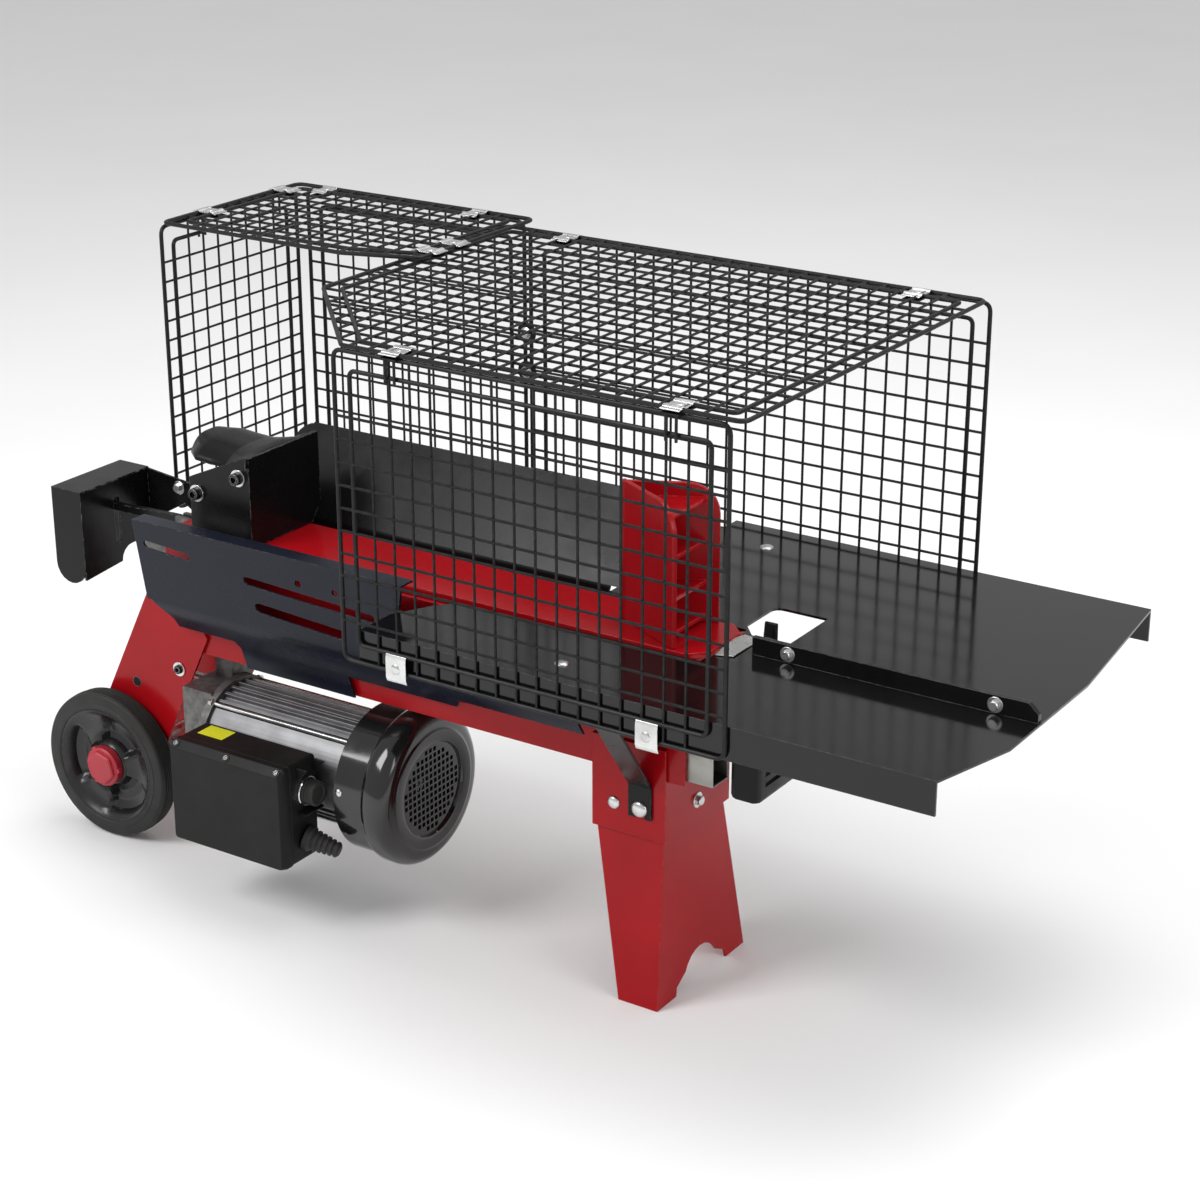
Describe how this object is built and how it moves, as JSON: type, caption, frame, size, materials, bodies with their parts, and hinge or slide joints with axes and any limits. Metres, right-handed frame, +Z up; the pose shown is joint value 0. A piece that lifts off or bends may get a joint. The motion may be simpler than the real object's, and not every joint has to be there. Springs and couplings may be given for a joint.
{
  "type": "electric log splitter",
  "caption": "Horizontal electric log splitter: a ram on a red beam pushes a log onto a fixed wedge, inside a black mesh cage, with side tables, wheels and a leg.",
  "frame": {"origin": "middle of the machine's footprint, on the ground", "axes": "+X along the beam from the pusher to the wedge, +Y to the side away from the operator, +Z up"},
  "size_m": [1.257, 0.5293, 0.7245],
  "materials": {
    "red_paint": "gloss powder coat, scuffed along its edges",
    "black_paint": "gloss black powder coat",
    "blue_black_paint": "blue-black gloss coat",
    "cage_wire": "black coated wire",
    "zinc_plate": "zinc plated",
    "cast_aluminium": "as cast, sand textured",
    "machined_steel": "machined and oiled",
    "rod_chrome": "ground and hard chromed",
    "gloss_black_plastic": "glossy",
    "matte_black_plastic": "finely grained",
    "red_plastic": "satin",
    "tyre_rubber": "matt, ribbed"
  },
  "bodies": {
    "frame": {"main_beam": "red_paint", "track": "red_paint", "beam_end_plate": "red_paint", "wedge": "red_paint", "leg_socket": "red_paint", "front_leg": "red_paint", "wheel_leg_near": "red_paint", "wheel_leg_far": "red_paint", "far_side_plate": "black_paint", "near_table": "black_paint", "far_table": "black_paint", "table_strut_near": "black_paint", "table_strut_far": "black_paint", "lever_guard": "black_paint", "near_side_plate": "blue_black_paint", "cage_near_panel": "cage_wire", "cage_rear_panel": "cage_wire", "cage_left_panel": "cage_wire", "cage_left_top": "cage_wire", "cage_top_panel": "cage_wire", "near_clip_left": "zinc_plate", "near_clip_right": "zinc_plate", "wheel_axle": "zinc_plate", "handle_tube": "zinc_plate", "pressure_pipe": "zinc_plate", "motor_housing": "cast_aluminium", "motor_end_shield": "cast_aluminium", "pump_housing": "cast_aluminium", "pump_cover": "cast_aluminium", "valve_block": "cast_aluminium", "motor_stator": "machined_steel", "cylinder_tube": "machined_steel", "cylinder_gland": "machined_steel", "fan_cover": "gloss_black_plastic", "switch_box": "matte_black_plastic", "switch_lid": "matte_black_plastic", "cable_inlet": "matte_black_plastic", "lift_handle": "matte_black_plastic", "oil_filler_cap": "matte_black_plastic"},
    "wheel_near": {"wheel_tyre_near": "tyre_rubber", "wheel_hub_near": "matte_black_plastic", "wheel_cap_near": "red_plastic"},
    "wheel_far": {"wheel_tyre_far": "tyre_rubber", "wheel_hub_far": "matte_black_plastic", "wheel_cap_far": "red_plastic"},
    "ram": {"pusher": "black_paint", "pusher_tongue": "black_paint", "draw_bar_near": "machined_steel", "draw_bar_far": "machined_steel", "ram_crosshead": "machined_steel", "piston": "machined_steel", "piston_rod": "rod_chrome"},
    "lever": {"control_lever": "black_paint", "lever_knob": "matte_black_plastic"},
    "spool": {"valve_spool": "machined_steel"},
    "button": {"push_button": "matte_black_plastic"},
    "rotor": {"motor_rotor": "machined_steel", "cooling_fan": "matte_black_plastic", "pump_gear_drive": "machined_steel"},
    "driven_gear": {"pump_gear_driven": "machined_steel"}
  },
  "joints": [
    {"name": "wheel_near_turn", "type": "hinge", "parent": "frame", "child": "wheel_near", "pos_m": [-0.5355, -0.16435, 0.093], "axis": [0, 1, 0], "continuous": true},
    {"name": "wheel_far_turn", "type": "hinge", "parent": "frame", "child": "wheel_far", "pos_m": [-0.5355, 0.00505, 0.093], "axis": [0, 1, 0], "continuous": true},
    {"name": "ram_stroke", "type": "slide", "parent": "frame", "child": "ram", "axis": [1, 0, 0], "range_m": [0, 0.28], "stiffness_N_per_m": 300, "springref_m": -0.15},
    {"name": "lever_press", "type": "hinge", "parent": "frame", "child": "lever", "pos_m": [-0.4685, -0.07965, 0.388], "axis": [0, -1, 0], "range_deg": [0, 15], "stiffness_Nm_per_rad": 4, "springref_deg": -3.44},
    {"name": "spool_slide", "type": "slide", "parent": "frame", "child": "spool", "axis": [0, 0, -1], "range_m": [0, 0.008]},
    {"name": "button_press", "type": "slide", "parent": "frame", "child": "button", "axis": [-1, 0, 0], "range_m": [0, 0.004], "stiffness_N_per_m": 400, "springref_m": -0.002},
    {"name": "rotor_turn", "type": "hinge", "parent": "frame", "child": "rotor", "pos_m": [-0.2385, -0.12965, 0.163], "axis": [1, 0, 0], "continuous": true},
    {"name": "driven_gear_turn", "type": "hinge", "parent": "frame", "child": "driven_gear", "pos_m": [-0.372, -0.12965, 0.1876], "axis": [1, 0, 0], "continuous": true}
  ],
  "couplings": [
    {"joint": "spool_slide", "follows": "lever_press", "m_per_rad": 0.03},
    {"joint": "driven_gear_turn", "follows": "rotor_turn", "ratio": -1}
  ]
}
